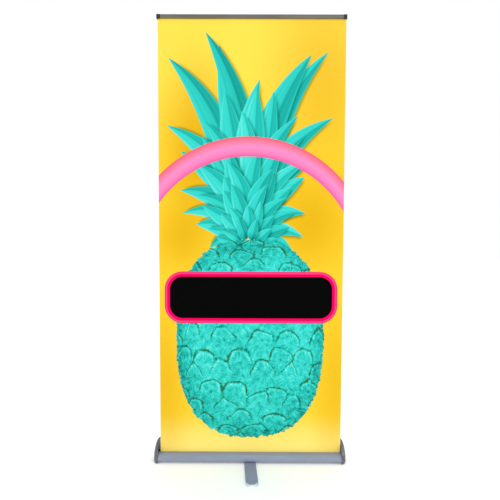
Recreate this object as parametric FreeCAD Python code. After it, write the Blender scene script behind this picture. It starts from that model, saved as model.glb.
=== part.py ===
# Roll-up banner stand: a cassette base with a sprung roller, a graphic that pulls up out of a slot,
# a three-section telescopic pole behind it, and one foot that swings out under the front.
# Millimetres, +Z up, the front of the graphic faces -Y. Sub-parts are drawn with the graphic's plane
# at y = 0, and save_part moves them back by graphic_plane_y, so that the origin is the point on the
# floor under the middle of the stand's whole depth.
import FreeCAD, Part
import math
import os

V = FreeCAD.Vector
X_AXIS = V(1, 0, 0)
Z_AXIS = V(0, 0, 1)

# graphic
graphic_width = 850.0
graphic_film = 0.4
graphic_shift = 3.0          # the graphic hangs a little right of the middle
graphic_plane_y = 90.9       # the graphic's plane in the finished frame

# cassette base, section drawn in Y and Z
base_length = 860.0
wall = 1.8
base_floor_z = 9.0
base_front_y = -34.0
base_rear_y = 52.0
front_lip = (-4.5, 43.0)
rear_lip = (10.5, 52.0)
dome_y = 30.0
dome_z = 75.0
dome_r = 22.0
port_r = 3.6
port_hole_r = 1.9
ports = [(-24.0, 13.5), (46.0, 14.0), (42.4, 87.4)]

# end caps
cap_depth = 24.0
cap_grow = 1.5
cap_wall = 2.2
cap_web_thick = 1.8
cap_bottom_z = 2.0
cap_centre = (4.0, 22.0)     # the dome of each cap closes in towards this point
cap_seat = 7.0               # screw heads sit this far out from the cassette's end

# roller
roller_y = 18.0
roller_z = 34.0
roller_r = 15.0
roller_wall = 1.5
roller_length = 856.0
wound_r = 17.4
journal_r = 5.0
arbor_r = 4.0
running_gap = 0.06

# pole
pole_y = 30.0
socket_top_z = 112.0
socket_floor_z = 58.0
socket_r = 14.5
lower_tube_r = 12.5
lower_tube_wall = 1.2
middle_tube_r = 10.0
middle_tube_wall = 1.0
upper_tube_r = 7.8
upper_tube_wall = 1.0
lower_tube_z = (60.5, 738.0)
middle_tube_z = (680.0, 1388.0)
upper_tube_z = (1328.0, 2022.0)
section_travel = 600.0       # each upper section drops this far into the one below

# rail
rail_z = 2043.0
rail_height = 18.0
rail_half_depth = 7.5
rail_length = 842.0
rail_shift = 1.8
rail_cap_length = 9.5
bead_r = 2.2

# foot
pivot_y = -6.0
foot_width = 54.0
foot_z = (2.2, 7.4)
foot_reach = 229.0           # from the pivot to the end of the tip
foot_tip_length = 24.0
foot_turn = 3.0              # degrees past square, where its stop holds it
shoe_top_z = 8.0
point_start = 22.0           # the bar narrows from this far off its shoe's end to point_end
point_end = 4.0
point_half = 9.0             # half the bar's width at its point
facet_slope = 26.0           # degrees

graphic_split_z = front_lip[1] - 3.0 + 2 * section_travel   # its cut edge drops just inside the slot


# --- helpers ---

def at(point, x=0.0):
    """A point of the Y-Z section at a station along X."""
    return V(x, point[0], point[1])


def line(a, b, x=0.0):
    return Part.LineSegment(at(a, x), at(b, x)).toShape()


def arc(a, middle, b, x=0.0):
    return Part.Arc(at(a, x), at(middle, x), at(b, x)).toShape()


def rod_x(radius, start, end, y, z):
    """A cylinder along X."""
    return Part.makeCylinder(radius, end - start, V(start, y, z), X_AXIS)


def rod_z(radius, start, end, x, y):
    """A cylinder along Z."""
    return Part.makeCylinder(radius, end - start, V(x, y, start), Z_AXIS)


def tube_z(outer, inner, start, end, y=pole_y):
    return rod_z(outer, start, end, 0, y).cut(rod_z(inner, start - 1, end + 1, 0, y))


def tube_x(outer, inner, start, end, y=roller_y, z=roller_z):
    return rod_x(outer, start, end, y, z).cut(rod_x(inner, start - 1, end + 1, y, z))


def block(x_range, y_range, z_range):
    size = [end - start for start, end in (x_range, y_range, z_range)]
    return Part.makeBox(size[0], size[1], size[2], V(x_range[0], y_range[0], z_range[0]))


def hexagon(across_flats, start, end, x, y):
    radius = across_flats / 2 / math.cos(math.radians(30))
    corners = [V(x + radius * math.cos(math.radians(60 * i)), y + radius * math.sin(math.radians(60 * i)), start)
               for i in range(7)]
    return Part.Face(Part.makePolygon(corners)).extrude(V(0, 0, end - start))


def join(shapes):
    first = shapes[0]
    return first.fuse(shapes[1:]).removeSplitter() if len(shapes) > 1 else first


def mirrored(shape):
    return shape.mirror(V(0, 0, 0), X_AXIS)


# --- cassette base ---

def cassette_outline(bottom_z, grow=0.0):
    """The closed outer section: front apron, flat bottom, tall rear dome, and a line across the slot."""
    rise = bottom_z - base_floor_z
    apron_foot = (base_front_y, base_floor_z + 4.0 + rise * 0.6)
    toe_middle = (base_front_y + 1.1, bottom_z + 1.3)
    toe_end = (base_front_y + 4.0, bottom_z)
    heel_start = (base_rear_y - 6.0, bottom_z)
    heel_middle = (base_rear_y - 1.8, bottom_z + 1.8)
    heel_end = (base_rear_y, bottom_z + 6.0)
    edges = [
        arc(front_lip, (-25.5, 34.8), apron_foot),
        arc(apron_foot, toe_middle, toe_end),
        line(toe_end, heel_start),
        arc(heel_start, heel_middle, heel_end),
        line(heel_end, (base_rear_y, dome_z)),
        arc((base_rear_y, dome_z), (dome_y, dome_z + dome_r), (dome_y - dome_r, dome_z)),
        line((dome_y - dome_r, dome_z), rear_lip),
        line(rear_lip, front_lip),
    ]
    wire = Part.Wire(edges)
    return wire.makeOffset2D(grow) if grow else wire


def cap_outline(bottom_z, grow=0.0):
    """The end caps' closed section: one sweep from the toe, tangent to the dome over the rear."""
    toe_z = base_floor_z + 4.0 + (bottom_z - base_floor_z) * 0.6
    rise = dome_z - toe_z
    offset = base_front_y + dome_r
    sweep_y = (offset ** 2 - dome_y ** 2 - rise ** 2) / (2 * (offset - dome_y))
    sweep_r = sweep_y - base_front_y
    lean = math.atan2(rise, dome_y - sweep_y)

    def on_sweep(angle):
        return (sweep_y + sweep_r * math.cos(angle), toe_z + sweep_r * math.sin(angle))

    meeting = on_sweep(lean)
    toe = (base_front_y, toe_z)
    toe_end = (base_front_y + 4.0, bottom_z)
    toe_middle = (base_front_y + 1.1, bottom_z + 1.3)
    rear_foot = (base_rear_y, bottom_z)
    rear_turn = lean / 2
    rear_middle = (dome_y + dome_r * math.cos(rear_turn), dome_z + dome_r * math.sin(rear_turn))
    edges = [
        arc(meeting, on_sweep((lean + math.pi) / 2), toe),
        arc(toe, toe_middle, toe_end),
        line(toe_end, rear_foot),
        line(rear_foot, (base_rear_y, dome_z)),
        arc((base_rear_y, dome_z), rear_middle, meeting),
    ]
    wire = Part.Wire(edges)
    return wire.makeOffset2D(grow) if grow else wire


def base_housing():
    """The aluminium extrusion, with its slot, lip beads and screw ports."""
    outer = Part.Face(cassette_outline(base_floor_z))
    inner = Part.Face(cassette_outline(base_floor_z, -wall))
    start = V(-base_length / 2, 0, 0)
    run = V(base_length, 0, 0)
    shell = outer.cut(inner).extrude(run)
    shell.translate(start)
    slot = block((-base_length, base_length), (front_lip[0] + wall, rear_lip[0] - 1.9), (30, 60))
    shell = shell.cut(slot)
    half = base_length / 2
    beads = [rod_x(1.5, -half, half, -3.9, 42.0), rod_x(1.9, -half, half, 10.6, 52.2)]
    bosses = [rod_x(port_r, -half, half, y, z) for y, z in ports]
    envelope = outer.extrude(run)
    envelope.translate(start)
    bosses = [boss.common(envelope) for boss in bosses]
    shell = join([shell] + beads + bosses)
    for y, z in ports:
        shell = shell.cut(rod_x(port_hole_r, -half - 1, half + 1, y, z))
    shell = shell.cut(rod_z(socket_r + 0.1, dome_z, dome_z + dome_r + 5, 0, pole_y))
    shell = shell.cut(rod_z(4.1, 0, 20, 0, pivot_y))
    for x, y in rivet_places():
        shell = shell.cut(rod_z(2.0, 0, 20, x, y))
    return shell


def cap_dome(grow, depth, bottom_z):
    """The domed form of a right-hand end cap, from the cassette's end outwards."""
    rings = []
    for degrees in (0, 14, 28, 42, 55, 66, 75, 81):
        share = math.cos(math.radians(degrees))
        out = base_length / 2 + depth * math.sin(math.radians(degrees))
        ring = cap_outline(-4.0, grow)
        ring.translate(V(0, -cap_centre[0], -cap_centre[1]))
        ring.scale(share)
        ring.translate(V(out, cap_centre[0], cap_centre[1]))
        rings.append(ring)
    dome = Part.makeLoft(rings, True)
    below = block((0, 600), (-200, 200), (-200, bottom_z))
    return dome.cut(below)


def cap_web():
    """The cap's flat inner wall, open where the cassette's section meets it."""
    face = Part.Face(cap_outline(-4.0, cap_grow)).cut(Part.Face(cassette_outline(base_floor_z)))
    web = face.extrude(V(cap_web_thick, 0, 0))
    web.translate(V(base_length / 2, 0, 0))
    return web.cut(block((0, 600), (-200, 200), (-200, cap_bottom_z)))


def end_cap():
    """A moulded dish with an inner wall, a boss for the roller and three screw columns."""
    half = base_length / 2
    full = cap_dome(cap_grow, cap_depth, cap_bottom_z)
    cavity = cap_dome(cap_grow - cap_wall, cap_depth - cap_wall, cap_bottom_z + cap_wall)
    dish = full.cut(cavity)
    boss = rod_x(10.0, half, half + cap_depth, roller_y, roller_z).common(full)
    columns = [rod_x(5.2, half, half + cap_depth, y, z).common(full) for y, z in ports]
    cap = join([dish, cap_web(), boss] + columns)
    cap = cap.cut(rod_x(7.5, half - 1, half + 13.5, roller_y, roller_z))
    for y, z in ports:
        cap = cap.cut(rod_x(port_hole_r, half - 1, half + cap_depth + 1, y, z))
        cap = cap.cut(rod_x(3.9, half + cap_seat, half + cap_depth + 1, y, z))
    return cap


def end_cap_screws():
    """Three pan-head screws at each end."""
    half = base_length / 2
    screws = []
    for y, z in ports:
        head = rod_x(3.4, half + cap_seat, half + cap_seat + 2.4, y, z)
        head = head.makeFillet(1.0, [head.Edges[0]])
        shank = rod_x(1.8, half - 18, half + cap_seat, y, z)
        recess = block((half + cap_seat + 1.2, half + cap_seat + 4), (y - 2, y + 2), (z - 0.4, z + 0.4))
        cross = block((half + cap_seat + 1.2, half + cap_seat + 4), (y - 0.4, y + 0.4), (z - 2, z + 2))
        screw = head.fuse(shank).removeSplitter().cut(recess).cut(cross)
        screws += [screw, mirrored(screw)]
    return Part.makeCompound(screws)


def base_pads():
    """Four rubber pads under the end caps."""
    half = base_length / 2
    pads = []
    for y_range in ((-27.0, -11.0), (28.0, 44.0)):
        pad = block((half + 1.0, half + 10.0), y_range, (0, cap_bottom_z))
        pad = pad.makeFillet(2.5, upright_edges(pad))
        pads += [pad, mirrored(pad)]
    return Part.makeCompound(pads)


def upright_edges(shape):
    """The straight edges of a shape that run along Z."""
    found = []
    for edge in shape.Edges:
        box = edge.BoundBox
        if box.XLength < 1e-6 and box.YLength < 1e-6:
            found.append(edge)
    return found


# --- roller and spring ---

def roller_tube():
    half = roller_length / 2
    return tube_x(roller_r, roller_r - roller_wall, -half, half)


def roller_plug(idle):
    """A plug in the roller's end: the idle one carries a journal, the other turns on the arbor."""
    half = roller_length / 2
    inner = roller_r - roller_wall
    if idle:
        body = rod_x(inner, -half, -half + 22, roller_y, roller_z)
        return body.fuse(rod_x(journal_r, -half - 13.5, -half, roller_y, roller_z)).removeSplitter()
    return tube_x(inner, arbor_r + running_gap, half - 22, half)


def idle_bush():
    half = base_length / 2
    return tube_x(7.5, journal_r + running_gap, -half - 12.5, -half)


def spring_arbor():
    """The fixed rod that the spring winds on, keyed into the right-hand cap by a square."""
    half = base_length / 2
    rod = rod_x(arbor_r, 150, half, roller_y, roller_z)
    key = rod_x(7.4, half, half + 12, roller_y, roller_z)
    return rod.fuse(key).removeSplitter()


def spring_anchor():
    """The clip that fixes the spring to the arbor."""
    clip = tube_x(11.0, arbor_r, 380, 396)
    return clip.cut(block((380, 385), (roller_y - 1, roller_y + 12), (roller_z - 1.2, roller_z + 1.2)))


def torsion_spring():
    """The close-wound coil, as a sleeve of its outer size."""
    return tube_x(9.5, 7.5, 180.5, 379.5)


def spring_driver():
    """The block in the tube that the spring's free end turns."""
    return tube_x(roller_r - roller_wall, arbor_r + running_gap, 158, 180)


def wound_graphic():
    """The turns of leader and graphic that stay on the roller."""
    left = graphic_shift - graphic_width / 2
    return tube_x(wound_r, roller_r, left, left + graphic_width)


# --- graphic ---

def graphic_panel(bottom, top):
    left = graphic_shift - graphic_width / 2
    return block((left, left + graphic_width), (-graphic_film / 2, graphic_film / 2), (bottom, top))


# --- rail ---

def rail_outline(grow=0.0):
    """The rail's outer section: bowed front, flat top, back and underside."""
    low = rail_z
    high = rail_z + rail_height
    front = -rail_half_depth + 1.5
    rear = rail_half_depth
    edges = [
        line((front, low), (rear, low)),
        line((rear, low), (rear, high)),
        line((rear, high), (front, high)),
        arc((front, high), (front - 1.5, (low + high) / 2), (front, low)),
    ]
    wire = Part.Wire(edges)
    return wire.makeOffset2D(grow) if grow else wire


def rail_run(grow, start, end):
    solid = Part.Face(rail_outline(grow)).extrude(V(end - start, 0, 0))
    solid.translate(V(start, 0, 0))
    return solid


def rail_profile():
    """The aluminium rail, with a bead chamber open downwards and a groove for the hook behind it."""
    left = rail_shift - rail_length / 2
    right = left + rail_length
    rail = rail_run(0.0, left, right)
    reach = (left - 1, right + 1)
    rail = rail.cut(block(reach, (-0.7, 0.7), (rail_z - 1, rail_z + 6)))
    rail = rail.cut(block(reach, (-2.4, 2.4), (rail_z + 5, rail_z + 12)))
    rail = rail.cut(block(reach, (3.6, 6.2), (rail_z - 1, rail_z + 13.5)))
    rail = rail.cut(block(reach, (-5.8, -3.6), (rail_z + 2, rail_z + 15.5)))
    return rail


def rail_cap():
    """A black moulded shoe over the rail's right-hand end, open below where the graphic passes."""
    inner_end = rail_shift + rail_length / 2
    start = inner_end - rail_cap_length + 1.5
    end = inner_end + 8.0
    shoe = rail_run(1.1, start, end)
    shoe = shoe.makeFillet(0.8, [edge for edge in shoe.Edges
                                 if edge.BoundBox.XLength < 1e-6 and edge.BoundBox.XMin > end - 0.1])
    shoe = shoe.cut(rail_run(0.05, start - 1, inner_end))
    shoe = shoe.cut(block((start - 1, inner_end + 5.5), (-3.0, 7.0), (rail_z - 5, rail_z + 0.05)))
    shoe = shoe.cut(block((inner_end - 1, inner_end + 5.5), (-2.6, 2.6), (rail_z - 5, rail_z + 12)))
    return shoe


def graphic_bead():
    """The round bead bonded to the graphic's top edge."""
    left = graphic_shift - graphic_width / 2
    return rod_x(bead_r, left, left + graphic_width, 0, rail_z + 8.0)


# --- pole ---

def pole_socket():
    """A moulded saddle on the dome, with the sleeve that holds the pole."""
    saddle = block((-32, 32), (11.5, 48.5), (84, 103))
    saddle = saddle.makeFillet(7.0, upright_edges(saddle))
    collar = rod_z(17.5, 100, socket_top_z, 0, pole_y)
    collar = collar.makeFillet(2.0, [collar.Edges[0]])
    body = saddle.fuse(collar).removeSplitter()
    body = body.cut(rod_x(dome_r + 0.05, -60, 60, dome_y, dome_z))
    sleeve = rod_z(socket_r, socket_floor_z, socket_top_z - 3, 0, pole_y)
    body = body.fuse(sleeve).removeSplitter()
    body = body.cut(rod_z(lower_tube_r + 0.1, lower_tube_z[0], socket_top_z + 1, 0, pole_y))
    for x in (-25, 25):
        body = body.cut(rod_z(2.1, 80, 110, x, pole_y))
    return body


def socket_screws():
    """Two pan-head screws that hold the saddle to the dome."""
    screws = []
    for x in (-25, 25):
        head = rod_z(4.0, 103, 105.6, x, pole_y)
        head = head.makeFillet(1.2, [head.Edges[0]])
        shank = rod_z(2.0, 97.2, 103, x, pole_y)
        screw = head.fuse(shank).removeSplitter()
        screw = screw.cut(block((x - 2.4, x + 2.4), (pole_y - 0.5, pole_y + 0.5), (104.4, 107)))
        screws.append(screw.cut(block((x - 0.5, x + 0.5), (pole_y - 2.4, pole_y + 2.4), (104.4, 107))))
    return Part.makeCompound(screws)


def pole_tube(radius, thickness, z_range):
    return tube_z(radius, radius - thickness, z_range[0], z_range[1])


def pole_bush(tube_r, tube_wall, inner_r, top_z):
    """The guide in a tube's mouth, that the next tube slides through."""
    return tube_z(tube_r - tube_wall, inner_r + running_gap, top_z - 28, top_z)


def twist_collar(tube_r, inner_r, top_z, outer_r):
    """A twist-lock collar: a fluted ring over the tube's mouth, with a plain tapered nose above it."""
    grip = rod_z(outer_r, top_z - 34, top_z + 4, 0, pole_y)
    grip = grip.makeFillet(1.5, [grip.Edges[0], grip.Edges[2]])
    nose = Part.makeCone(outer_r - 1.5, inner_r + 2.2, 9, V(0, pole_y, top_z + 4), Z_AXIS)
    body = grip.fuse(nose).removeSplitter()
    flutes = 16
    for i in range(flutes):
        angle = 2 * math.pi * i / flutes
        x = (outer_r + 0.6) * math.cos(angle)
        y = pole_y + (outer_r + 0.6) * math.sin(angle)
        body = body.cut(rod_z(1.4, top_z - 29, top_z - 2, x, y))
    body = body.cut(rod_z(tube_r + running_gap, top_z - 40, top_z + 0.3, 0, pole_y))
    return body.cut(rod_z(inner_r + running_gap, top_z - 1, top_z + 20, 0, pole_y))


def pole_foot_plug():
    return rod_z(lower_tube_r - lower_tube_wall, lower_tube_z[0], lower_tube_z[0] + 8, 0, pole_y)


def slide_plug(tube_r, tube_wall, guide_r, bottom_z):
    """The stopper at a sliding tube's lower end, guided by the tube around it."""
    guide = rod_z(guide_r - 0.1, bottom_z - 10, bottom_z, 0, pole_y)
    return guide.fuse(rod_z(tube_r - tube_wall, bottom_z, bottom_z + 14, 0, pole_y)).removeSplitter()


def rail_hook():
    """The moulded head of the pole: a plug, a cap, and an arm whose tongue stands in the rail's groove."""
    top = upper_tube_z[1]
    plug = rod_z(upper_tube_r - upper_tube_wall, top - 18, top, 0, pole_y)
    cap = rod_z(upper_tube_r + 1.6, top, top + 18, 0, pole_y)
    cap = cap.makeFillet(1.8, [cap.Edges[0]])
    arm = block((-8, 8), (8.0, pole_y), (top + 6, top + 15))
    cross = block((-18, 18), (3.9, 10.0), (top + 6, top + 15))
    cross = cross.makeFillet(2.0, upright_edges(cross)[1:3])
    tongue = block((-18, 18), (3.9, 5.9), (top + 15, rail_z + 12.5))
    return join([plug, cap, arm, cross, tongue])


# --- foot ---

def turned(shape):
    """Turn a foot piece out to its stop."""
    shape.rotate(V(0, pivot_y, 0), Z_AXIS, foot_turn)
    return shape


def bar_plan(bottom, top):
    """The bar from its pivot to its blunt point, which the shoe holds on three sides."""
    half = foot_width / 2
    end = pivot_y - foot_reach
    points = [(-half, pivot_y), (-half, end + point_start), (-point_half, end + point_end),
              (point_half, end + point_end), (half, end + point_start), (half, pivot_y)]
    corners = [V(x, y, bottom) for x, y in points]
    outline = Part.makePolygon(corners + corners[:1])
    return Part.Face(outline).extrude(V(0, 0, top - bottom))


def foot_bar():
    """A flat bar with a round heel, a blunt point, a pivot hole and a counterbore for the bolt's head."""
    half = foot_width / 2
    bar = bar_plan(*foot_z).fuse(rod_z(half, foot_z[0], foot_z[1], 0, pivot_y)).removeSplitter()
    top_edges = [edge for edge in bar.Edges if edge.BoundBox.ZMin > foot_z[1] - 1e-3]
    bar = bar.makeFillet(0.8, top_edges)
    bar = bar.cut(rod_z(4.05, 0, 20, 0, pivot_y))
    return turned(bar.cut(rod_z(9.3, 0, 4.6, 0, pivot_y)))


def foot_tip():
    """A moulded shoe round the bar's point, with round corners and a sloping facet at each one."""
    end = pivot_y - foot_reach
    start = end + foot_tip_length
    half = foot_width / 2 + 1.2
    shoe = block((-half, half), (end, start), (1.0, shoe_top_z))
    corners = [edge for edge in upright_edges(shoe) if edge.BoundBox.YMin < end + 1]
    shoe = shoe.makeFillet(13.0, corners)
    for side in (-1, 1):
        slope = math.radians(facet_slope)
        across = math.atan2(point_start - point_end, foot_width / 2 - point_half)
        outward = V(side * math.sin(across) * math.sin(slope), -math.cos(across) * math.sin(slope),
                    math.cos(slope))
        cutter = block((-40, 40), (-40, 40), (0, 30))
        middle = V(side * (foot_width / 2 + point_half) / 2, end + (point_start + point_end) / 2, shoe_top_z)
        cutter.Placement = FreeCAD.Placement(middle, FreeCAD.Rotation(Z_AXIS, outward))
        shoe = shoe.cut(cutter)
    return turned(shoe.cut(bar_plan(foot_z[0], shoe_top_z + 5)))


def foot_tip_pad():
    end = pivot_y - foot_reach
    pad = block((-19, 19), (end + 4, end + 16), (0, 1.0))
    return turned(pad.makeFillet(3.0, upright_edges(pad)))


def foot_washer():
    """The nylon washer between the foot and the cassette."""
    return tube_z(14.0, 4.1, foot_z[1], base_floor_z, pivot_y)


def foot_bolt():
    """The pivot bolt, its low head up inside the foot."""
    head = rod_z(9.0, 2.4, 4.6, 0, pivot_y)
    bolt = head.fuse(rod_z(4.0, 4.6, 18.0, 0, pivot_y)).removeSplitter()
    return bolt.cut(hexagon(5.0, 2.0, 4.0, 0, pivot_y))


def backing_plate():
    """The steel plate inside the cassette that spreads the foot's load."""
    floor = base_floor_z + wall
    plate = block((-32, 32), (-19.5, 8.0), (floor, floor + 2.0))
    plate = plate.makeFillet(3.0, upright_edges(plate))
    plate = plate.cut(rod_z(4.1, 0, 20, 0, pivot_y))
    for x, y in rivet_places():
        plate = plate.cut(rod_z(2.0, 0, 20, x, y))
    return plate


def rivet_places():
    return [(x, y) for x in (-24.0, 24.0) for y in (-14.0, 3.0)]


def plate_rivets():
    """Four rivets through the plate and the cassette's bottom, flush below."""
    head_z = base_floor_z + wall + 2.0
    rivets = []
    for x, y in rivet_places():
        head = rod_z(3.4, head_z, head_z + 1.3, x, y)
        rivets.append(head.fuse(rod_z(2.0, base_floor_z, head_z, x, y)).removeSplitter())
    return Part.makeCompound(rivets)


def foot_nut():
    floor = base_floor_z + wall + 2.0
    return hexagon(13.0, floor, floor + 4.0, 0, pivot_y).cut(rod_z(4.0, 0, 30, 0, pivot_y))


# --- the whole stand ---

def build_all():
    cap = end_cap()
    shoe = rail_cap()
    shoe_left = mirrored(shoe)
    shoe_left.translate(V(2 * rail_shift, 0, 0))
    return {
        "base_housing": base_housing(),
        "end_cap_left": mirrored(cap),
        "end_cap_right": cap,
        "end_cap_screws": end_cap_screws(),
        "base_pads": base_pads(),
        "roller_tube": roller_tube(),
        "roller_idle_plug": roller_plug(True),
        "roller_spring_plug": roller_plug(False),
        "idle_bush": idle_bush(),
        "spring_arbor": spring_arbor(),
        "spring_anchor": spring_anchor(),
        "torsion_spring": torsion_spring(),
        "spring_driver": spring_driver(),
        "wound_graphic": wound_graphic(),
        "graphic_lower": graphic_panel(roller_z, graphic_split_z),
        "graphic_upper": graphic_panel(graphic_split_z, rail_z + 5.8),
        "graphic_bead": graphic_bead(),
        "rail_profile": rail_profile(),
        "rail_cap_left": shoe_left,
        "rail_cap_right": shoe,
        "pole_socket": pole_socket(),
        "socket_screws": socket_screws(),
        "pole_foot_plug": pole_foot_plug(),
        "pole_lower_tube": pole_tube(lower_tube_r, lower_tube_wall, lower_tube_z),
        "pole_middle_tube": pole_tube(middle_tube_r, middle_tube_wall, middle_tube_z),
        "pole_upper_tube": pole_tube(upper_tube_r, upper_tube_wall, upper_tube_z),
        "lower_bush": pole_bush(lower_tube_r, lower_tube_wall, middle_tube_r, lower_tube_z[1]),
        "middle_bush": pole_bush(middle_tube_r, middle_tube_wall, upper_tube_r, middle_tube_z[1]),
        "lower_collar": twist_collar(lower_tube_r, middle_tube_r, lower_tube_z[1], 17.0),
        "middle_collar": twist_collar(middle_tube_r, upper_tube_r, middle_tube_z[1], 14.5),
        "middle_slide_plug": slide_plug(middle_tube_r, middle_tube_wall,
                                        lower_tube_r - lower_tube_wall, middle_tube_z[0]),
        "upper_slide_plug": slide_plug(upper_tube_r, upper_tube_wall,
                                       middle_tube_r - middle_tube_wall, upper_tube_z[0]),
        "rail_hook": rail_hook(),
        "foot_bar": foot_bar(),
        "foot_tip": foot_tip(),
        "foot_tip_pad": foot_tip_pad(),
        "foot_washer": foot_washer(),
        "foot_bolt": foot_bolt(),
        "backing_plate": backing_plate(),
        "plate_rivets": plate_rivets(),
        "foot_nut": foot_nut(),
    }


def save_part(name, shape):
    shape.translate(V(0, graphic_plane_y, 0))
    shape.exportStep("parts/" + name + ".step")


os.makedirs("parts", exist_ok=True)
nodes = build_all()
whole = FreeCAD.BoundBox()
for name, shape in nodes.items():
    save_part(name, shape)
    whole.add(shape.BoundBox)
    print(name, "valid", shape.isValid(), "solids", len(shape.Solids), "cm3", round(shape.Volume / 1000, 2))
print("whole box", whole)
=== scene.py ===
import math
import random

import bmesh
import bpy
from mathutils import Matrix, Vector


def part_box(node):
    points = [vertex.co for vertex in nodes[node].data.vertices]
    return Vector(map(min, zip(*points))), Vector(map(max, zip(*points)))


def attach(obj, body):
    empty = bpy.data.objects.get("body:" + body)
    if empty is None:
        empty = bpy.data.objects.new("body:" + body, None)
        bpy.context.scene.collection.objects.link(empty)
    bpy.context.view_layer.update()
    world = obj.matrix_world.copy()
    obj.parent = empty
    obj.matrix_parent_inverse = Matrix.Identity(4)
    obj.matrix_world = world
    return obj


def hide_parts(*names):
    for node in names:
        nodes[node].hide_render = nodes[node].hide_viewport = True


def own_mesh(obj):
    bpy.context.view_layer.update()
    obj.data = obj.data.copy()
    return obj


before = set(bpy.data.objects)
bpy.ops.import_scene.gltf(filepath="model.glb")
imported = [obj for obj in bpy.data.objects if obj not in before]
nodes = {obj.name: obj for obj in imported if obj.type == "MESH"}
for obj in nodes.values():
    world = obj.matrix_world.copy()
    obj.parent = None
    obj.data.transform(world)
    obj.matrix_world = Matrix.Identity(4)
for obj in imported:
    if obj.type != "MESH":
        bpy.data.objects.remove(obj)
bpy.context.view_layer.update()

mm = 0.001

# a noise rarely leaves these values, the second pair when it has little detail
noiseRange = (0.3, 0.7)
calmRange = (0.35, 0.65)

# The printed leaves are a long chain. A clamp is worked out late and holds memory for every leaf until then,
# so a soft step has none, and keptToOne holds a value in range without one.
softStep = {"interpolation_type": "SMOOTHSTEP", "clamp": False}


def hexColour(code):
    values = []
    for place in (1, 3, 5):
        share = int(code[place:place + 2], 16) / 255
        values.append(share / 12.92 if share <= 0.04045 else ((share + 0.055) / 1.055) ** 2.4)
    return (*values, 1.0)


def addNode(tree, kind, *values, plugs=None, **settings):
    # values fill the inputs in order and plugs fill them by name or number, and a node given as a value
    # stands for its first output
    node = tree.nodes.new("ShaderNode" + kind)
    for name, value in settings.items():
        setattr(node, name, value)
    for place, value in list(enumerate(values)) + list((plugs or {}).items()):
        if isinstance(value, bpy.types.Node):
            value = next(out for out in value.outputs if out.enabled)
        if isinstance(value, bpy.types.NodeSocket):
            tree.links.new(value, node.inputs[place])
        elif value is not None:
            node.inputs[place].default_value = value
    return node


def newMaterial(name):
    material = bpy.data.materials.new(name)
    material.use_nodes = True
    tree = material.node_tree
    tree.nodes.clear()
    return material, tree


def finishMaterial(tree, shader):
    addNode(tree, "OutputMaterial", shader)


camera = {
    "place": (0.0070, -2.2177, 1.1369),  # metres, waist height and 2.2 m in front
    "down": 0.0588,                      # radians below level
    "turn": 0.0040,
    "lean": 0.0037,
    "lens": 36.0,
    "sensor": 36.0,
    "clip": (0.05, 60.0),
}


def addCamera():
    data = bpy.data.cameras.new("camera")
    data.lens = camera["lens"]
    data.sensor_width = camera["sensor"]
    data.clip_start, data.clip_end = camera["clip"]
    item = bpy.data.objects.new("camera", data)
    item.location = camera["place"]
    turned = Matrix.Rotation(camera["turn"], 3, "Z")
    tilted = Matrix.Rotation(math.pi / 2 - camera["down"], 3, "X")
    leaned = Matrix.Rotation(camera["lean"], 3, "Z")
    item.rotation_euler = (turned @ tilted @ leaned).to_euler()
    bpy.context.scene.collection.objects.link(item)
    bpy.context.scene.camera = item


light = {
    "world": ("#FFFFFF", 1.0),
    # where each lamp stands and aims, then its width, power and colour
    "lamps": [
        ("key", (1.9, -2.4, 2.9), (0.1, 0.0, 0.5), 0.9, 16, "#EEF3FF"),
        ("fill", (-2.4, -2.0, 1.3), (0.0, 0.0, 0.6), 0.9, 5, "#FFFAF2"),
        ("side", (2.3, -0.8, 0.45), (0.45, 0.0, 0.05), 0.4, 6, "#CFE0FF"),
        ("back", (0.6, 2.6, 2.4), (0.0, 0.0, 0.9), 1.2, 12, "#FFFFFF"),
    ],
}


def addLights():
    world = bpy.data.worlds.new("studio")
    world.use_nodes = True
    background = world.node_tree.nodes["Background"]
    background.inputs["Color"].default_value = hexColour(light["world"][0])
    background.inputs["Strength"].default_value = light["world"][1]
    bpy.context.scene.world = world
    for name, place, aim, size, power, colour in light["lamps"]:
        data = bpy.data.lights.new(name, "AREA")
        data.size = size
        data.energy = power
        data.color = hexColour(colour)[:3]
        item = bpy.data.objects.new(name, data)
        item.location = place
        item.rotation_euler = (Vector(aim) - Vector(place)).to_track_quat("-Z", "Y").to_euler()
        bpy.context.scene.collection.objects.link(item)


floor = {
    "reach": 12.0,      # metres from the middle to each edge
    "colour": "#FAFAFA",
    "rough": 0.8,
    "glow": 0.12,       # keeps the floor white in the stand's soft shade
}


def addFloor():
    shape = bmesh.new()
    bmesh.ops.create_grid(shape, x_segments=1, y_segments=1, size=floor["reach"])
    mesh = bpy.data.meshes.new("floor")
    shape.to_mesh(mesh)
    shape.free()
    item = bpy.data.objects.new("floor", mesh)
    bpy.context.scene.collection.objects.link(item)
    material, tree = newMaterial("paleStudioFloor")
    shader = addNode(tree, "BsdfPrincipled", plugs={
        "Base Color": hexColour(floor["colour"]), "Roughness": floor["rough"],
        "Emission Color": hexColour("#FFFFFF"), "Emission Strength": floor["glow"]})
    finishMaterial(tree, shader)
    mesh.materials.append(material)


addCamera()
addLights()
addFloor()
print("camera, lights and floor are in place")


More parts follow.
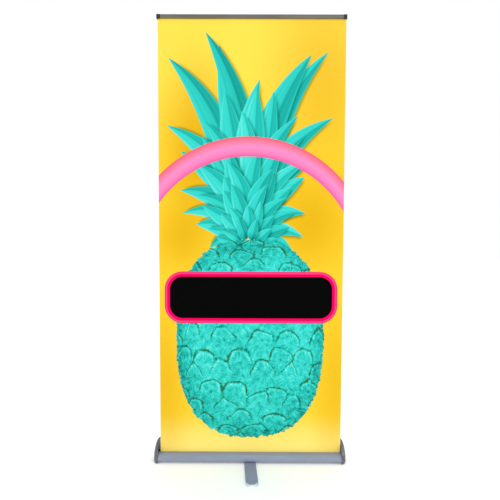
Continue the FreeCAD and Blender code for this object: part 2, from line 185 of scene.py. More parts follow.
# grain is the spacing of the drawn lines in millimetres, across and along the axis they run on
metals = {
    # anodised 6063 aluminium, extruded: satin, a trace blue, with faint lines left by the die
    "anodisedBase": {"dark": "#858E9F", "light": "#959FB0", "rough": (0.50, 0.60), "metal": 0.35,
                     "grain": (0.5, 90.0), "axis": "X"},
    # the same with a warmer, glossier coat
    "anodisedRail": {"dark": "#6A685E", "light": "#807E75", "rough": (0.30, 0.44), "metal": 1.0,
                     "grain": (0.4, 80.0), "axis": "X"},
    # drawn and anodised tube: bright, with fine lines along it
    "anodisedPole": {"dark": "#AEB1B6", "light": "#C6C9CE", "rough": (0.24, 0.36), "metal": 1.0,
                     "grain": (0.4, 70.0), "axis": "Z"},
    # anodised flat bar: duller and bluer than the base
    "anodisedFoot": {"dark": "#8B8FB2", "light": "#9CA1C4", "rough": (0.56, 0.66), "metal": 0.45,
                     "grain": (0.4, 60.0), "axis": "Y"},
    # zinc plated steel: bright, slightly uneven
    "zincPlate": {"dark": "#9C9EA3", "light": "#C4C6C9", "rough": (0.22, 0.38), "metal": 1.0,
                  "grain": (0.9, 1.6), "axis": "X"},
    # blackened steel tube: an oxide finish, dark and dull, kept black so that the slot in front of it shows
    # painted shade
    "blackTubeSlotShade": {"dark": "#141416", "light": "#222225", "rough": (0.45, 0.60), "metal": 1.0,
                  "grain": (0.6, 20.0), "axis": "X"},
    # oiled spring wire: dark, drawn along its length
    "springWire": {"dark": "#3A3B3E", "light": "#5A5C60", "rough": (0.25, 0.36), "metal": 1.0,
                   "grain": (0.3, 2.0), "axis": "X"},
}

drawnMetal = {
    "patch": (40.0, 160.0),  # millimetres, the broad clouding across and along the lines
    "patchShare": 0.8,       # its weight beside the lines
    "blend": (0.6, 1.2),     # the values of the two together that reach the dark and the light colour
    "lineDepth": 0.012,      # millimetres
}


def stretchedNoise(tree, across, along, axis, detail):
    # grain that runs along one axis
    place = addNode(tree, "TexCoord").outputs["Object"]
    scale = [1 / (across * mm)] * 3
    scale["XYZ".index(axis)] = 1 / (along * mm)
    mapped = addNode(tree, "Mapping", place, plugs={"Scale": scale})
    return addNode(tree, "TexNoise", plugs={
        "Vector": mapped, "Scale": 1.0, "Detail": detail, "Roughness": 0.6})


def metalFinish(name):
    facts = metals[name]
    material, tree = newMaterial(name)
    lines = stretchedNoise(tree, *facts["grain"], facts["axis"], 3.0)
    patches = stretchedNoise(tree, *drawnMetal["patch"], facts["axis"], 2.0)
    patches = addNode(tree, "Math", patches, drawnMetal["patchShare"], operation="MULTIPLY")
    blended = addNode(tree, "Math", lines, patches, operation="ADD")
    share = addNode(tree, "MapRange", blended, *drawnMetal["blend"], 0.0, 1.0)
    colour = addNode(tree, "Mix", data_type="RGBA", plugs={
        0: share, 6: hexColour(facts["dark"]), 7: hexColour(facts["light"])})
    rough = addNode(tree, "MapRange", lines, *noiseRange, *facts["rough"])
    relief = addNode(tree, "Bump", plugs={"Height": lines, "Distance": drawnMetal["lineDepth"] * mm})
    shader = addNode(tree, "BsdfPrincipled", plugs={
        "Base Color": colour.outputs[2], "Metallic": facts["metal"], "Roughness": rough, "Normal": relief})
    finishMaterial(tree, shader)
    return material


# grit is the spacing of the surface texture and depth its height, both in millimetres
plastics = {
    # silver ABS end caps, moulded: a metal-flake look, half gloss, light orange peel
    "silverAbs": {"dark": "#5C5E61", "light": "#6B6D71", "rough": 0.24, "metal": 0.80,
                  "grit": 0.6, "depth": 0.006},
    # plated ABS tip of the foot: bright silver, its colour raised almost to white as a painted highlight of
    # the plating
    "brightAbsPaintedHighlight": {"dark": "#DADDE3", "light": "#F0F2F6", "rough": 0.22, "metal": 0.30,
                  "grit": 2.5, "depth": 0.01},
    # black nylon from a spark-eroded mould: dark, finely textured
    "blackNylon": {"dark": "#0C0C0E", "light": "#1B1B1E", "rough": 0.46, "metal": 0.0,
                   "grit": 0.7, "depth": 0.03},
    # natural nylon: milky, smooth
    "milkyNylon": {"dark": "#D8D5C9", "light": "#E9E7DE", "rough": 0.38, "metal": 0.0,
                   "grit": 1.5, "depth": 0.01},
    # black rubber: dull, dusty
    "blackRubber": {"dark": "#101010", "light": "#232322", "rough": 0.78, "metal": 0.0,
                    "grit": 0.8, "depth": 0.05},
}

moulded = {
    "patch": 35.0,            # millimetres, the broad soft clouding
    "gritShare": 0.4,         # the weights of the grit and the clouding in the colour
    "patchShare": 0.6,
    "sheen": (-0.04, 0.06),   # how far the roughness strays
}


def plasticFinish(name):
    facts = plastics[name]
    material, tree = newMaterial(name)
    place = addNode(tree, "TexCoord").outputs["Object"]
    grit = addNode(tree, "TexNoise", plugs={
        "Vector": place, "Scale": 1 / (facts["grit"] * mm), "Detail": 2.0})
    patches = addNode(tree, "TexNoise", plugs={
        "Vector": place, "Scale": 1 / (moulded["patch"] * mm), "Detail": 3.0})
    fine = addNode(tree, "Math", grit, moulded["gritShare"], operation="MULTIPLY")
    broad = addNode(tree, "Math", patches, moulded["patchShare"], operation="MULTIPLY")
    blended = addNode(tree, "Math", fine, broad, operation="ADD")
    share = addNode(tree, "MapRange", blended, *calmRange, 0.0, 1.0)
    colour = addNode(tree, "Mix", data_type="RGBA", plugs={
        0: share, 6: hexColour(facts["dark"]), 7: hexColour(facts["light"])})
    sheen = [facts["rough"] + stray for stray in moulded["sheen"]]
    rough = addNode(tree, "MapRange", patches, *calmRange, *sheen)
    relief = addNode(tree, "Bump", plugs={"Height": grit, "Distance": facts["depth"] * mm})
    shader = addNode(tree, "BsdfPrincipled", plugs={
        "Base Color": colour.outputs[2], "Metallic": facts["metal"], "Roughness": rough, "IOR": 1.5,
        "Normal": relief})
    finishMaterial(tree, shader)
    return material


finish = {name: metalFinish(name) for name in metals}
finish.update({name: plasticFinish(name) for name in plastics})
print("metal and plastic finishes are made")


# The print is drawn in millimetres, from the middle of the film and from the slot up.


def keptToOne(tree, value):
    value = addNode(tree, "Math", value, 1.0, operation="MINIMUM")
    return addNode(tree, "Math", value, 0.0, operation="MAXIMUM")


def fillRamp(ramp, codes):
    # spreads the colours evenly from 0 to 1
    elements = ramp.color_ramp.elements
    while len(elements) < len(codes):
        elements.new(0.5)
    for i, code in enumerate(codes):
        elements[i].position = i / (len(codes) - 1)
        elements[i].color = hexColour(code)


leaf = {
    "tones": ("#0A5F55", "#13938A", "#22B8AC", "#38D3C6", "#74E8DD"),
    "shadow": "#3F8C74",
    "bendPower": 2.6,        # a higher power keeps the bend nearer the tip
    "rootPower": 0.45,       # how the blade widens from its root
    "tipPower": 0.85,        # and narrows to its tip
    "sharpness": 0.6,        # of its outline, per millimetre
    "fold": (0.12, -0.15),   # tone to the left and the right of the midrib
    "veins": 15.0,
    "veinTone": 0.035,
    "edgeTone": 0.14,
    "rootTone": -0.34,
    "shadowAside": 12.0,     # how far the shadow falls to the right
    "shadowGrow": 8.0,
    "shadowSoft": 26.0,
    "shadowDepth": 0.75,
}


def leafGroup():
    # one printed leaf: a curved blade from its root, folded down its middle, with a soft shadow on its right
    tree = bpy.data.node_groups.new("printedLeaf", "ShaderNodeTree")
    sockets = {"Point": "Vector", "Under": "Color", "Root": "Vector", "Lean": "Float", "Length": "Float",
               "Half Width": "Float", "Bend": "Float", "Tone": "Float"}
    for name, kind in sockets.items():
        tree.interface.new_socket(name, in_out="INPUT", socket_type="NodeSocket" + kind)
    tree.interface.new_socket("Colour", in_out="OUTPUT", socket_type="NodeSocketColor")
    given = tree.nodes.new("NodeGroupInput").outputs

    # the point as seen from the leaf: how far along it, and how far to the side of its bent midrib
    turned = addNode(tree, "VectorRotate", given["Point"], given["Root"], rotation_type="Z_AXIS",
                     plugs={"Angle": given["Lean"]})
    local = addNode(tree, "VectorMath", turned, given["Root"], operation="SUBTRACT")
    parts = addNode(tree, "SeparateXYZ", local).outputs
    along = keptToOne(tree, addNode(tree, "Math", parts["Y"], given["Length"], operation="DIVIDE"))
    bent = addNode(tree, "Math", along, leaf["bendPower"], operation="POWER")
    bent = addNode(tree, "Math", bent, given["Bend"], operation="MULTIPLY")
    side = addNode(tree, "Math", parts["X"], bent, operation="SUBTRACT")

    # the blade's half width there
    fromRoot = addNode(tree, "Math", along, leaf["rootPower"], operation="POWER")
    fromTip = addNode(tree, "Math", 1.0, along, operation="SUBTRACT")
    fromTip = addNode(tree, "Math", fromTip, leaf["tipPower"], operation="POWER")
    wide = addNode(tree, "Math", fromRoot, fromTip, operation="MULTIPLY")
    wide = addNode(tree, "Math", wide, given["Half Width"], operation="MULTIPLY")
    away = addNode(tree, "Math", side, operation="ABSOLUTE")
    inside = addNode(tree, "Math", wide, away, operation="SUBTRACT")
    inside = addNode(tree, "Math", inside, leaf["sharpness"], operation="MULTIPLY")
    inside = keptToOne(tree, inside)

    # light on the left of the midrib and dark on its right, with veins, a light edge and a dark root
    ratio = addNode(tree, "Math", wide, 0.5, operation="ADD")
    ratio = addNode(tree, "Math", side, ratio, operation="DIVIDE")
    fold = addNode(tree, "MapRange", ratio, -0.06, 0.22, *leaf["fold"], **softStep)
    veins = addNode(tree, "Math", ratio, leaf["veins"], given["Tone"], operation="MULTIPLY_ADD")
    veins = addNode(tree, "Math", veins, operation="SINE")
    edge = addNode(tree, "Math", ratio, operation="ABSOLUTE")
    edge = addNode(tree, "MapRange", edge, 0.55, 1.0, 0.0, leaf["edgeTone"], **softStep)
    rootShade = addNode(tree, "MapRange", along, 0.0, 0.42, leaf["rootTone"], 0.0, **softStep)
    tone = addNode(tree, "Math", veins, leaf["veinTone"], given["Tone"], operation="MULTIPLY_ADD")
    for part in (fold, edge, rootShade):
        tone = addNode(tree, "Math", tone, part, operation="ADD")
    blade = addNode(tree, "ValToRGB", tone)
    fillRamp(blade, leaf["tones"])

    # the shadow is the same shape a little wider and to the right, faded at both ends
    aside = addNode(tree, "Math", side, leaf["shadowAside"], operation="SUBTRACT")
    aside = addNode(tree, "Math", aside, operation="ABSOLUTE")
    shade = addNode(tree, "Math", wide, leaf["shadowGrow"], operation="ADD")
    shade = addNode(tree, "Math", shade, aside, operation="SUBTRACT")
    shade = addNode(tree, "MapRange", shade, 0.0, leaf["shadowSoft"], 0.0, leaf["shadowDepth"], **softStep)
    for ends in ((0.0, 0.08, 0.0, 1.0), (0.85, 1.0, 1.0, 0.0)):
        faded = addNode(tree, "MapRange", along, *ends, **softStep)
        shade = addNode(tree, "Math", shade, faded, operation="MULTIPLY")
    shaded = addNode(tree, "Mix", data_type="RGBA", blend_type="MULTIPLY", plugs={
        0: shade, 6: given["Under"], 7: hexColour(leaf["shadow"])})
    drawn = addNode(tree, "Mix", data_type="RGBA", plugs={0: inside, 6: shaded.outputs[2], 7: blade})
    last = tree.nodes.new("NodeGroupOutput")
    tree.links.new(drawn.outputs[2], last.inputs["Colour"])
    return tree


crown = {
    "seed": 11,
    # from the tall inner leaves at the back to the small ones round the neck: how many, how far they
    # spread in degrees, their length, half width, height of the root and tone
    "rows": [
        (5, 15, (610, 760), 128, 1330, 0.50),
        (6, 26, (420, 540), 118, 1285, 0.56),
        (7, 36, (320, 410), 104, 1235, 0.60),
        (7, 50, (260, 330), 96, 1180, 0.62),
        (8, 64, (200, 260), 88, 1130, 0.60),
        (8, 78, (160, 210), 78, 1085, 0.62),
        (9, 92, (120, 160), 66, 1045, 0.58),
        (8, 108, (85, 120), 50, 1010, 0.56),
    ],
    "neck": 78,          # half the width of the ring of roots
    "middle": -14,
    "rootDrop": 30,      # how much lower the outer roots of a row are
    "shorter": 0.14,     # and how much shorter its outer leaves
    "leanStray": 7,      # degrees
    "widthStray": 0.15,
    "bend": 0.24,        # outer leaves bend outwards by this share of their length
    "bendStray": 0.22,
    "toneStray": 0.08,
}


def leafPlan():
    # the outer leaves of a row come first, so that the middle ones lie over them
    random.seed(crown["seed"])
    plan = []
    for count, spread, lengths, half, root, tone in crown["rows"]:
        middle = (count - 1) / 2
        for i in sorted(range(count), key=lambda i: -abs(i - middle)):
            share = (i - middle) / middle
            length = random.uniform(*lengths) * (1 - crown["shorter"] * abs(share))
            lean = spread * share + random.uniform(-crown["leanStray"], crown["leanStray"])
            width = half * random.uniform(1 - crown["widthStray"], 1 + crown["widthStray"])
            bend = crown["bend"] * share + random.uniform(-crown["bendStray"], crown["bendStray"])
            plan.append({
                "root": (crown["neck"] * share + crown["middle"], root - crown["rootDrop"] * abs(share), 0.0),
                "lean": math.radians(lean),
                "length": length,
                "half": width,
                "bend": length * bend,
                "tone": tone + random.uniform(-crown["toneStray"], crown["toneStray"]),
            })
    return plan


backdrop = {
    "middle": "#FACF33",
    "top": "#FFDB4E",
    "bottom": "#FFE678",
    "shadow": "#D8A400",
    "topFade": (1250.0, 1900.0),
    "bottomFade": (20.0, 210.0),
    # soft shadows round the fruit: the centre, the radii and the strength of each
    "shadows": [
        ((-250, 1400), (170, 420), 0.85),
        ((270, 1080), (230, 260), 0.75),
        ((-330, 1010), (150, 170), 0.60),
        ((-400, 350), (110, 420), 0.55),
        ((400, 350), (110, 420), 0.55),
        ((330, 1720), (260, 460), 0.60),
    ],
    "softness": 1.5,     # how many radii a shadow reaches
}


def drawGround(tree, point):
    # a plain yellow backdrop, paler at the top and bottom
    height = addNode(tree, "SeparateXYZ", point).outputs["Y"]
    upper = addNode(tree, "MapRange", height, *backdrop["topFade"], 0.0, 1.0, **softStep)
    lower = addNode(tree, "MapRange", height, *backdrop["bottomFade"], 1.0, 0.0, **softStep)
    colour = addNode(tree, "Mix", data_type="RGBA", plugs={
        0: upper, 6: hexColour(backdrop["middle"]), 7: hexColour(backdrop["top"])})
    colour = addNode(tree, "Mix", data_type="RGBA", plugs={
        0: lower, 6: colour.outputs[2], 7: hexColour(backdrop["bottom"])})
    for centre, radii, strength in backdrop["shadows"]:
        moved = addNode(tree, "VectorMath", point, (*centre, 0), operation="SUBTRACT")
        moved = addNode(tree, "VectorMath", moved, (1 / radii[0], 1 / radii[1], 0), operation="MULTIPLY")
        length = addNode(tree, "VectorMath", moved, operation="LENGTH").outputs["Value"]
        share = addNode(tree, "MapRange", length, 0.0, backdrop["softness"], strength, 0.0, **softStep)
        colour = addNode(tree, "Mix", data_type="RGBA", plugs={
            0: share, 6: colour.outputs[2], 7: hexColour(backdrop["shadow"])})
    return colour.outputs[2]


def drawLeaves(tree, point, under):
    group = leafGroup()
    for plan in leafPlan():
        drawn = addNode(tree, "Group", point, under, plan["root"], plan["lean"], plan["length"], plan["half"],
                        plan["bend"], plan["tone"], node_tree=group)
        under = drawn.outputs["Colour"]
    return under


fruit = {
    "centre": (-4.0, 539.0),
    "radii": (344.0, 468.0),
    "power": 2.5,             # 2 is an ellipse and more is squarer
    "sharpness": 170.0,       # of its outline
    "ragged": 0.020,          # how uneven its outline is, as a share of its radius
    "bulge": 0.93,            # how far round its sides the pattern is seen
    "eye": 108.0,             # the size of an eye
    "squeeze": (0.98, 0.92, 1),
    "tilt": math.radians(44),
    "randomness": 0.45,       # how unevenly the eyes are set
    "wander": (0.55, 0.55, 0.0),
    "lap": 0.50,              # how far an eye's round edge reaches, in eyes
    "jag": 0.022,
    "skin": ("#0B6E62", "#1FA99B", "#30CCBE", "#4BDCCF", "#86EEE4"),
    "cracks": ("#0E5B3C", "#4E7B22"),
    "crackWidth": (0.004, 0.040),
    "crackSharpness": 60.0,
    # how much each feature lightens or darkens the skin
    "streakTone": (0.24, 0.80),
    "daubTone": 0.24,
    "cloudTone": 0.07,
    "creaseTone": -0.34,
    "rimTone": 0.20,
    "ringTone": -0.10,
    "spotTone": -0.22,
    "sideTone": -0.26,
}


def drawFruit(tree, point, under):
    # a round body of scaly eyes: the pattern is drawn on the bulge, so the eyes narrow towards the sides
    moved = addNode(tree, "VectorMath", point, (*fruit["centre"], 0), operation="SUBTRACT")
    perRadius = (1 / fruit["radii"][0], 1 / fruit["radii"][1], 0)
    unit = addNode(tree, "VectorMath", moved, perRadius, operation="MULTIPLY")
    parts = addNode(tree, "SeparateXYZ", unit).outputs
    powers = []
    for axis in ("X", "Y"):
        size = addNode(tree, "Math", parts[axis], operation="ABSOLUTE")
        powers.append(addNode(tree, "Math", size, fruit["power"], operation="POWER"))
    reach = addNode(tree, "Math", *powers, operation="ADD")
    reach = addNode(tree, "Math", reach, 1 / fruit["power"], operation="POWER")
    ragged = addNode(tree, "TexNoise", plugs={
        "Vector": point, "Scale": 0.045, "Detail": 4.0, "Roughness": 0.7})
    ragged = addNode(tree, "MapRange", ragged, *noiseRange, -fruit["ragged"], fruit["ragged"])
    edge = addNode(tree, "Math", 1.0, reach, operation="SUBTRACT")
    edge = addNode(tree, "Math", edge, ragged, operation="ADD")
    inside = addNode(tree, "Math", edge, fruit["sharpness"], operation="MULTIPLY", use_clamp=True)

    # where the point lies on the bulge, in eyes
    bulge = []
    for axis, radius in zip(("X", "Y"), fruit["radii"]):
        held = addNode(tree, "Math", parts[axis], fruit["bulge"], operation="MULTIPLY")
        held = addNode(tree, "Clamp", held, -0.98, 0.98)
        angle = addNode(tree, "Math", held, operation="ARCSINE")
        bulge.append(addNode(tree, "Math", angle, radius / fruit["eye"], operation="MULTIPLY"))
    lattice = addNode(tree, "CombineXYZ", *bulge)
    wander = addNode(tree, "TexNoise", plugs={"Vector": lattice, "Scale": 1.3, "Detail": 2.0})
    wander = addNode(tree, "VectorMath", wander.outputs["Color"], (0.5, 0.5, 0.5), operation="SUBTRACT")
    wander = addNode(tree, "VectorMath", wander, fruit["wander"], operation="MULTIPLY")
    lattice = addNode(tree, "VectorMath", lattice, wander, operation="ADD")
    lattice = addNode(tree, "Mapping", lattice, plugs={
        "Rotation": (0, 0, fruit["tilt"]), "Scale": fruit["squeeze"]})
    cells = {"Vector": lattice, "Scale": 1.0, "Randomness": fruit["randomness"]}
    eyes = addNode(tree, "TexVoronoi", plugs=cells, voronoi_dimensions="2D")
    borders = addNode(tree, "TexVoronoi", plugs=cells, voronoi_dimensions="2D", feature="DISTANCE_TO_EDGE")
    fromEye = addNode(tree, "VectorMath", lattice, eyes.outputs["Position"], operation="SUBTRACT")
    eyeParts = addNode(tree, "SeparateXYZ", fromEye).outputs
    spread = eyes.outputs["Distance"]

    # streaks that fan out from the middle of each eye, and the daubs of paint over them
    bearing = addNode(tree, "Math", eyeParts["Y"], eyeParts["X"], operation="ARCTAN2")
    bearing = addNode(tree, "Math", bearing, 5.0, operation="MULTIPLY")
    outward = addNode(tree, "Math", spread, 2.0, operation="MULTIPLY")
    streaks = addNode(tree, "CombineXYZ", bearing, outward, eyes.outputs["Color"])
    streaks = addNode(tree, "TexNoise", plugs={
        "Vector": streaks, "Scale": 1.7, "Detail": 4.0, "Roughness": 0.7})
    daubs = addNode(tree, "TexNoise", plugs={
        "Vector": point, "Scale": 0.035, "Detail": 5.0, "Roughness": 0.65})
    patches = addNode(tree, "TexNoise", plugs={"Vector": point, "Scale": 0.006, "Detail": 1.0})

    # each eye is lapped by a round edge over its upper side, and open below
    upward = (-math.sin(fruit["tilt"]), math.cos(fruit["tilt"]), 0)
    height = addNode(tree, "VectorMath", fromEye, upward, operation="DOT_PRODUCT").outputs["Value"]
    upper = addNode(tree, "MapRange", height, -0.16, 0.16, 0.0, 1.0, **softStep)
    jag = addNode(tree, "TexNoise", plugs={"Vector": point, "Scale": 0.11, "Detail": 2.0})
    jag = addNode(tree, "MapRange", jag, *noiseRange, -fruit["jag"], fruit["jag"])
    lap = addNode(tree, "Math", fruit["lap"], spread, operation="SUBTRACT")
    toEdge = addNode(tree, "Math", borders.outputs["Distance"], lap, operation="MINIMUM")
    toEdge = addNode(tree, "Math", toEdge, jag, operation="ADD")
    nearEdge = addNode(tree, "Math", toEdge, operation="ABSOLUTE")
    crease = addNode(tree, "MapRange", nearEdge, 0.0, 0.085, fruit["creaseTone"], 0.0, **softStep)
    crease = addNode(tree, "Math", crease, upper, operation="MULTIPLY")
    rimLight = addNode(tree, "Math", toEdge, 0.10, operation="SUBTRACT")
    rimLight = addNode(tree, "Math", rimLight, operation="ABSOLUTE")
    rimLight = addNode(tree, "MapRange", rimLight, 0.0, 0.06, fruit["rimTone"], 0.0, **softStep)
    rimLight = addNode(tree, "Math", rimLight, upper, operation="MULTIPLY")
    ring = addNode(tree, "Math", spread, 0.27, operation="SUBTRACT")
    ring = addNode(tree, "Math", ring, operation="ABSOLUTE")
    ring = addNode(tree, "MapRange", ring, 0.0, 0.05, fruit["ringTone"], 0.0, **softStep)
    spot = addNode(tree, "MapRange", spread, 0.02, 0.10, fruit["spotTone"], 0.0, **softStep)
    tone = addNode(tree, "MapRange", streaks, *noiseRange, *fruit["streakTone"])
    mottle = addNode(tree, "MapRange", daubs, *noiseRange, -fruit["daubTone"], fruit["daubTone"])
    cloud = addNode(tree, "MapRange", patches, *calmRange, -fruit["cloudTone"], fruit["cloudTone"])
    roundness = addNode(tree, "MapRange", reach, 0.76, 1.0, 0.0, fruit["sideTone"])
    for part in (mottle, crease, rimLight, ring, spot, cloud, roundness):
        tone = addNode(tree, "Math", tone, part, operation="ADD")
    skin = addNode(tree, "ValToRGB", tone)
    fillRamp(skin, fruit["skin"])

    # dried brown-green cracks along parts of the laps
    breaks = addNode(tree, "TexNoise", plugs={"Vector": point, "Scale": 0.012, "Detail": 2.0})
    thick = addNode(tree, "MapRange", breaks, 0.34, 0.60, *fruit["crackWidth"])
    thick = addNode(tree, "Math", thick, upper, operation="MULTIPLY")
    gap = addNode(tree, "Math", thick, nearEdge, operation="SUBTRACT")
    gap = addNode(tree, "Math", gap, fruit["crackSharpness"], operation="MULTIPLY", use_clamp=True)
    first, second = (hexColour(code) for code in fruit["cracks"])
    green = addNode(tree, "Mix", data_type="RGBA", plugs={0: daubs, 6: first, 7: second})
    body = addNode(tree, "Mix", data_type="RGBA", plugs={0: gap, 6: skin, 7: green.outputs[2]})
    drawn = addNode(tree, "Mix", data_type="RGBA", plugs={0: inside, 6: under, 7: body.outputs[2]})
    return drawn.outputs[2], inside


hoop = {
    "colours": ("#F8606C", "#FF7C9E", "#FF8CC0", "#FF7FB6", "#E85A98"),  # from the outer edge to the inner
    "centre": (-12.0, 911.0),
    "outer": 567.0,
    "inner": 503.0,
    "drop": 28.0,        # how much lower the inner circle is, which slims the ends
    "lowest": 760.0,
    "sharpness": 0.7,
}


def drawHoop(tree, point, under, hiddenBy):
    # a plain pink arch over the fruit: in front of the leaves, behind the body, slimmer towards its ends
    reaches = []
    for drop in (0.0, hoop["drop"]):
        centre = (hoop["centre"][0], hoop["centre"][1] - drop, 0)
        moved = addNode(tree, "VectorMath", point, centre, operation="SUBTRACT")
        reaches.append(addNode(tree, "VectorMath", moved, operation="LENGTH").outputs["Value"])
    toOuter = addNode(tree, "Math", hoop["outer"], reaches[0], operation="SUBTRACT")
    toInner = addNode(tree, "Math", reaches[1], hoop["inner"], operation="SUBTRACT")
    depth = addNode(tree, "Math", toOuter, toInner, operation="MINIMUM")
    height = addNode(tree, "SeparateXYZ", point).outputs["Y"]
    raised = addNode(tree, "Math", height, hoop["lowest"], operation="SUBTRACT")
    depth = addNode(tree, "Math", depth, raised, operation="MINIMUM")
    inside = addNode(tree, "Math", depth, hoop["sharpness"], operation="MULTIPLY", use_clamp=True)
    outside = addNode(tree, "Math", 1.0, hiddenBy, operation="SUBTRACT")
    inside = addNode(tree, "Math", inside, outside, operation="MULTIPLY")
    width = addNode(tree, "Math", toOuter, toInner, operation="ADD")
    share = addNode(tree, "Math", toOuter, width, operation="DIVIDE")
    ramp = addNode(tree, "ValToRGB", share)
    fillRamp(ramp, hoop["colours"])
    return addNode(tree, "Mix", data_type="RGBA", plugs={0: inside, 6: under, 7: ramp}).outputs[2]


titleBar = {
    "colour": "#030303",
    "rim": "#F5005A",
    "shine": "#FF4E8E",
    "centre": (0.0, 736.0),
    "half": (402.0, 122.0),
    "corner": 84.0,
    "rimWidth": 24.0,
    "shineDepth": 8.0,   # from the rim's outer edge to its line of shine
    "shineWidth": 6.0,
    "sharpness": 0.7,
}


def drawBar(tree, point, under):
    # a blank black title bar with a glossy pink rim
    moved = addNode(tree, "VectorMath", point, (*titleBar["centre"], 0), operation="SUBTRACT")
    moved = addNode(tree, "VectorMath", moved, operation="ABSOLUTE")
    inner = [half - titleBar["corner"] for half in titleBar["half"]]
    moved = addNode(tree, "VectorMath", moved, (*inner, 0), operation="SUBTRACT")
    moved = addNode(tree, "VectorMath", moved, (0, 0, 0), operation="MAXIMUM")
    reach = addNode(tree, "VectorMath", moved, operation="LENGTH").outputs["Value"]
    depth = addNode(tree, "Math", titleBar["corner"], reach, operation="SUBTRACT")
    rimmed = addNode(tree, "Math", depth, titleBar["sharpness"], operation="MULTIPLY", use_clamp=True)
    filled = addNode(tree, "Math", depth, titleBar["rimWidth"], operation="SUBTRACT")
    filled = addNode(tree, "Math", filled, titleBar["sharpness"], operation="MULTIPLY", use_clamp=True)
    shine = addNode(tree, "Math", depth, titleBar["shineDepth"], operation="SUBTRACT")
    shine = addNode(tree, "Math", shine, operation="ABSOLUTE")
    shine = addNode(tree, "MapRange", shine, 0.0, titleBar["shineWidth"], 1.0, 0.0)
    rim = addNode(tree, "Mix", data_type="RGBA", plugs={
        0: shine, 6: hexColour(titleBar["rim"]), 7: hexColour(titleBar["shine"])})
    colour = addNode(tree, "Mix", data_type="RGBA", plugs={0: rimmed, 6: under, 7: rim.outputs[2]})
    colour = addNode(tree, "Mix", data_type="RGBA", plugs={
        0: filled, 6: colour.outputs[2], 7: hexColour(titleBar["colour"])})
    return colour.outputs[2]


# textures and depths are in millimetres
filmSurface = {
    "texture": 1.2,
    "depth": 0.01,
    "rough": (0.44, 0.54),
    "sheen": 0.03,
    "ior": 1.45,
    "backColours": ("#D2D4D4", "#D9DAD9"),
    "backMottle": 3.0,
    "backRough": 0.6,
}


def printedFront():
    # solvent-printed polypropylene film: even colour, hardly any sheen, a trace of surface texture
    material, tree = newMaterial("printedFilm")
    mapped = addNode(tree, "UVMap", uv_map="film")
    point = addNode(tree, "VectorMath", mapped, (1 / mm, 1 / mm, 0), operation="MULTIPLY")
    ground = drawGround(tree, point)
    leaves = drawLeaves(tree, point, ground)
    body, bodyInside = drawFruit(tree, point, leaves)
    hooped = drawHoop(tree, point, body, bodyInside)
    art = drawBar(tree, point, hooped)
    place = addNode(tree, "TexCoord").outputs["Object"]
    fine = addNode(tree, "TexNoise", plugs={
        "Vector": place, "Scale": 1 / (filmSurface["texture"] * mm), "Detail": 1.0})
    rough = addNode(tree, "MapRange", fine, *noiseRange, *filmSurface["rough"])
    relief = addNode(tree, "Bump", plugs={"Height": fine, "Distance": filmSurface["depth"] * mm})
    shader = addNode(tree, "BsdfPrincipled", plugs={
        "Base Color": art, "Roughness": rough, "IOR": filmSurface["ior"],
        "Specular IOR Level": filmSurface["sheen"], "Normal": relief})
    finishMaterial(tree, shader)
    return material


def filmBack():
    # the film's grey light-stopping back: flat, slightly mottled
    material, tree = newMaterial("filmBack")
    place = addNode(tree, "TexCoord").outputs["Object"]
    mottle = addNode(tree, "TexNoise", plugs={
        "Vector": place, "Scale": 1 / (filmSurface["backMottle"] * mm), "Detail": 3.0})
    first, second = (hexColour(code) for code in filmSurface["backColours"])
    colour = addNode(tree, "Mix", data_type="RGBA", plugs={0: mottle, 6: first, 7: second})
    relief = addNode(tree, "Bump", plugs={"Height": mottle, "Distance": filmSurface["depth"] * mm})
    shader = addNode(tree, "BsdfPrincipled", plugs={
        "Base Color": colour.outputs[2], "Roughness": filmSurface["backRough"], "IOR": filmSurface["ior"],
        "Normal": relief})
    finishMaterial(tree, shader)
    return material


# lengths in metres, angles in radians
film = {
    "columns": 60,
    "rowHeight": 0.020,
    "shown": 2.0,             # the height of the picture between the slot and the rail
    "travel": 1.2,            # how far the rail comes down
    "curl": 0.0012,           # how far its upright edges curl forward, clear of the roll behind it
    "curlWidth": 0.030,
    "ripple": 0.0007,         # slow waves where it hangs
    "wavesAcross": (7.0, 0.8),
    "wavesUp": (3.1, 0.4),
    "flatBelow": 0.06,        # it lies flat in the slot and in the rail
    "flatAbove": 2.03,
    "easing": 0.25,
    "sharpFold": 0.8,         # edges folded more than this stay sharp
}


def wave(place, rateAndStart):
    rate, start = rateAndStart
    return math.sin(place * rate + start)


def bendForward(spot, middleX, width):
    # how far the hanging film stands in front of its flat place
    below = max(0.0, (spot.z - film["flatBelow"]) / film["easing"])
    above = max(0.0, (film["flatAbove"] - spot.z) / film["easing"])
    held = min(1.0, below, above)
    side = max(0.0, abs(spot.x - middleX) - (width / 2 - film["curlWidth"]))
    curl = film["curl"] * (side / film["curlWidth"]) ** 2
    waves = wave(spot.x, film["wavesAcross"]) * wave(spot.z, film["wavesUp"])
    return (curl + film["ripple"] * (0.5 + 0.5 * waves)) * held


def filmSheet(name, low, high):
    # one flat face of the film, mapped to the picture before it is bent
    rows = max(2, round((high.z - low.z) / film["rowHeight"]))
    shape = bmesh.new()
    uv = shape.loops.layers.uv.new("film")
    bmesh.ops.create_grid(shape, x_segments=film["columns"], y_segments=rows, size=0.5)
    middleX = (low.x + high.x) / 2
    width = high.x - low.x
    height = high.z - low.z
    for vertex in shape.verts:
        vertex.co = Vector((middleX + vertex.co.x * width, low.y, low.z + (vertex.co.y + 0.5) * height))
    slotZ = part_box("rail_profile")[0].z - film["shown"]
    for face in shape.faces:
        for loop in face.loops:
            loop[uv].uv = (loop.vert.co.x - middleX, loop.vert.co.z - slotZ)
    for vertex in shape.verts:
        vertex.co.y -= bendForward(vertex.co, middleX, width)
    bmesh.ops.recalc_face_normals(shape, faces=shape.faces[:])
    if shape.faces[0].normal.y > 0:
        bmesh.ops.reverse_faces(shape, faces=shape.faces[:])
    mesh = bpy.data.meshes.new(name)
    shape.to_mesh(mesh)
    shape.free()
    return mesh


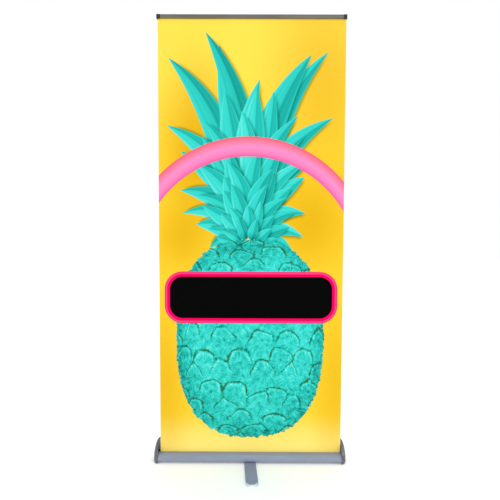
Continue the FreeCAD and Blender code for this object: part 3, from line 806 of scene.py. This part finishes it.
def filmPiece(name, node, front, back):
    # the sheet gets the film's thickness behind its printed face
    low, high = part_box(node)
    mesh = filmSheet(name, low, high)
    mesh.materials.append(front)
    mesh.materials.append(back)
    item = bpy.data.objects.new(name, mesh)
    bpy.context.scene.collection.objects.link(item)
    thick = item.modifiers.new("thickness", "SOLIDIFY")
    thick.thickness = high.y - low.y
    thick.offset = -1.0
    thick.material_offset = 1
    thick.material_offset_rim = 1
    thick.use_rim = True
    bpy.context.view_layer.objects.active = item
    bpy.ops.object.modifier_apply(modifier="thickness")
    shape = bmesh.new()
    shape.from_mesh(mesh)
    for face in shape.faces:
        face.smooth = True
    for edge in shape.edges:
        edge.smooth = edge.calc_face_angle(0.0) < film["sharpFold"]
    shape.to_mesh(mesh)
    shape.free()
    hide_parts(node)
    return item


def buildFilm():
    front = printedFront()
    back = filmBack()
    upper = filmPiece("banner_film_upper", "graphic_upper", front, back)
    lower = filmPiece("banner_film_lower", "graphic_lower", front, back)
    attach(upper, "upper_section")
    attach(lower, "base")
    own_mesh(lower)


buildFilm()
print("the printed film hangs from the rail")


finishOf = {
    "anodisedBase": ["base_housing"],
    "silverAbs": ["end_cap_left", "end_cap_right"],
    "anodisedRail": ["rail_profile"],
    "anodisedPole": ["pole_lower_tube", "pole_middle_tube", "pole_upper_tube"],
    # the roller's black finish is partly painted shade, darkening the view into the slot
    "blackTubeSlotShade": ["roller_tube"],
    "anodisedFoot": ["foot_bar"],
    # the tip's near-white colour is partly painted highlight
    "brightAbsPaintedHighlight": ["foot_tip"],
    "blackNylon": ["rail_cap_left", "rail_cap_right", "pole_socket", "pole_foot_plug", "lower_collar",
                   "middle_collar", "rail_hook"],
    "milkyNylon": ["idle_bush", "lower_bush", "middle_bush", "middle_slide_plug", "upper_slide_plug",
                   "graphic_bead", "foot_washer", "roller_idle_plug", "roller_spring_plug", "spring_driver"],
    "blackRubber": ["base_pads", "foot_tip_pad"],
    "zincPlate": ["end_cap_screws", "socket_screws", "foot_bolt", "foot_nut", "backing_plate", "plate_rivets",
                  "spring_arbor", "spring_anchor"],
    "springWire": ["torsion_spring"],
}


def paintNode(name, material):
    node = nodes[name]
    if not node.material_slots:
        node.data.materials.append(material)
    for slot in node.material_slots:
        slot.link = "OBJECT"
        slot.material = material


for finishName, names in finishOf.items():
    for name in names:
        paintNode(name, finish[finishName])
paintNode("wound_graphic", bpy.data.materials["filmBack"])
print("CAD parts have their finishes")

bpy.context.scene.view_settings.view_transform = "Standard"
